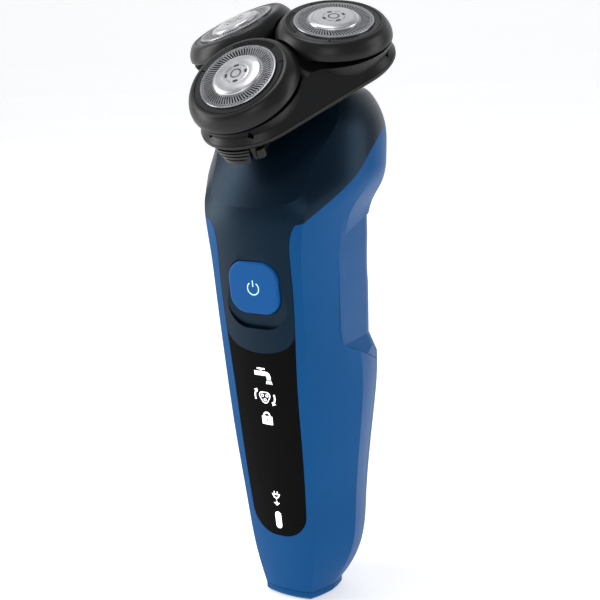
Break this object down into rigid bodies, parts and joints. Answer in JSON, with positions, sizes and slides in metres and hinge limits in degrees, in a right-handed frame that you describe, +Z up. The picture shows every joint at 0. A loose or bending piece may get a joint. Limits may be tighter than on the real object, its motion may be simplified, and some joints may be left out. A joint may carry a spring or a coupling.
{
  "type": "rotary electric shaver",
  "caption": "Cordless rotary shaver with a tapering two-colour handle, a lit front display, a tilted head unit that opens on a rear hinge and a pop-up trimmer at the back.",
  "frame": {"origin": "centre of the flat base face that the shaver stands on", "axes": "+Z up the handle towards the shaving unit, -Y out of the front face with the display, +X to the right seen from the back's opposite side, the front"},
  "size_m": [0.058, 0.0628, 0.1659],
  "materials": {
    "blue_shell": "satin moulded plastic",
    "navy_shell": "satin moulded plastic",
    "blue_button": "semi-gloss moulded plastic",
    "display": "polished dark window",
    "black_plastic": "fine satin moulded plastic",
    "steel": "ground shaving steel",
    "cutter_steel": "ground blades on a plastic hub",
    "silver_cap": "polished pressed cap",
    "pin_steel": "plain steel",
    "motor_can": "plated motor can",
    "battery_can": "sleeved cell",
    "board": "solder-masked laminate",
    "switch": "moulded switch",
    "light_guide": "clear moulded light guide",
    "contact_brass": "plated contacts",
    "seal_rubber": "soft seal",
    "gear_plastic": "acetal gear plastic"
  },
  "bodies": {
    "handle": {"back_insert": "blue_shell", "base_cap": "blue_shell", "battery": "battery_can", "charging_socket": "black_plastic", "circuit_board": "board", "contact_pins": "contact_brass", "display_window": "display", "front_housing": "navy_shell", "grip_shell": "blue_shell", "inner_chassis": "black_plastic", "light_guides": "light_guide", "motor": "motor_can", "motor_mount": "black_plastic", "neck_seal": "seal_rubber", "plate_screws": "pin_steel", "power_switch": "switch", "release_clip": "black_plastic", "transmission_plate": "black_plastic", "trimmer_housing": "black_plastic", "trimmer_pin": "pin_steel", "unit_base": "black_plastic", "unit_hinge_pin": "pin_steel"},
    "drive": {"drive_spindle": "pin_steel", "central_gear": "gear_plastic"},
    "button": {"power_button": "blue_button"},
    "trimmer_arm": {"trimmer_door": "blue_shell", "trimmer_comb": "steel", "trimmer_clip": "black_plastic"},
    "trimmer_knife": {"trimmer_blade": "steel"},
    "trimmer_catch": {"trimmer_slide": "black_plastic"},
    "cover": {"unit_cover": "black_plastic", "retaining_frame": "black_plastic"},
    "release": {"release_button": "black_plastic"},
    "gear_1": {"driven_gear_1": "gear_plastic"},
    "head_1": {"holder_ring_1": "black_plastic", "steel_cap_1": "steel", "cap_dome_1": "silver_cap"},
    "cutter_1": {"cutter_1": "cutter_steel"},
    "gear_2": {"driven_gear_2": "gear_plastic"},
    "head_2": {"holder_ring_2": "black_plastic", "steel_cap_2": "steel", "cap_dome_2": "silver_cap"},
    "cutter_2": {"cutter_2": "cutter_steel"},
    "gear_3": {"driven_gear_3": "gear_plastic"},
    "head_3": {"holder_ring_3": "black_plastic", "steel_cap_3": "steel", "cap_dome_3": "silver_cap"},
    "cutter_3": {"cutter_3": "cutter_steel"}
  },
  "joints": [
    {"name": "power_press", "type": "slide", "parent": "handle", "child": "button", "axis": [0, 0.9941, 0.1084], "range_m": [0, 0.0006], "stiffness_N_per_m": 400},
    {"name": "motor_spin", "type": "hinge", "parent": "handle", "child": "drive", "pos_m": [0, -0.0005, 0.14301], "axis": [0, -0.5, 0.866], "continuous": true},
    {"name": "unit_open", "type": "hinge", "parent": "handle", "child": "cover", "pos_m": [0, 0.01833, 0.1574], "axis": [-1, 0, 0], "range_deg": [0, 95]},
    {"name": "release_press", "type": "slide", "parent": "handle", "child": "release", "axis": [0, 0.866, 0.5], "range_m": [0, 0.0012], "stiffness_N_per_m": 400},
    {"name": "trimmer_open", "type": "hinge", "parent": "handle", "child": "trimmer_arm", "pos_m": [0, 0.0143, 0.075], "axis": [-1, 0, 0], "range_deg": [0, 50]},
    {"name": "trimmer_stroke", "type": "slide", "parent": "trimmer_arm", "child": "trimmer_knife", "axis": [1, 0, 0], "range_m": [-0.0008, 0.0008], "stiffness_N_per_m": 50},
    {"name": "trimmer_unlock", "type": "slide", "parent": "trimmer_arm", "child": "trimmer_catch", "axis": [0, 0, 1], "range_m": [0, 0.003]},
    {"name": "gear_spin_1", "type": "hinge", "parent": "handle", "child": "gear_1", "pos_m": [0, -0.01603, 0.13751], "axis": [0, -0.5, 0.866], "continuous": true},
    {"name": "head_tilt_1", "type": "hinge", "parent": "cover", "child": "head_1", "pos_m": [0, -0.02727, 0.13474], "axis": [-1, 0, 0], "range_deg": [0, 2], "stiffness_Nm_per_rad": 0.2},
    {"name": "cutter_spin_1", "type": "hinge", "parent": "head_1", "child": "cutter_1", "pos_m": [0, -0.02303, 0.14732], "axis": [0, -0.7071, 0.7071], "continuous": true},
    {"name": "gear_spin_2", "type": "hinge", "parent": "handle", "child": "gear_2", "pos_m": [0.01403, 0.00501, 0.14966], "axis": [0, -0.5, 0.866], "continuous": true},
    {"name": "head_tilt_2", "type": "hinge", "parent": "cover", "child": "head_2", "pos_m": [0.02366, 0.00822, 0.15523], "axis": [0.5, -0.75, -0.433], "range_deg": [0, 2], "stiffness_Nm_per_rad": 0.2},
    {"name": "cutter_spin_2", "type": "hinge", "parent": "head_2", "child": "cutter_2", "pos_m": [0.01503, -0.00049, 0.16034], "axis": [0.2241, -0.3709, 0.9012], "continuous": true},
    {"name": "gear_spin_3", "type": "hinge", "parent": "handle", "child": "gear_3", "pos_m": [-0.01403, 0.00501, 0.14966], "axis": [0, -0.5, 0.866], "continuous": true},
    {"name": "head_tilt_3", "type": "hinge", "parent": "cover", "child": "head_3", "pos_m": [-0.02366, 0.00822, 0.15523], "axis": [0.5, 0.75, 0.433], "range_deg": [0, 2], "stiffness_Nm_per_rad": 0.2},
    {"name": "cutter_spin_3", "type": "hinge", "parent": "head_3", "child": "cutter_3", "pos_m": [-0.01503, -0.00049, 0.16034], "axis": [-0.2241, -0.3709, 0.9012], "continuous": true}
  ],
  "couplings": [
    {"joint": "gear_spin_1", "follows": "motor_spin", "ratio": -2},
    {"joint": "cutter_spin_1", "follows": "motor_spin", "ratio": -2},
    {"joint": "gear_spin_2", "follows": "motor_spin", "ratio": -2},
    {"joint": "cutter_spin_2", "follows": "motor_spin", "ratio": -2},
    {"joint": "gear_spin_3", "follows": "motor_spin", "ratio": -2},
    {"joint": "cutter_spin_3", "follows": "motor_spin", "ratio": -2}
  ]
}
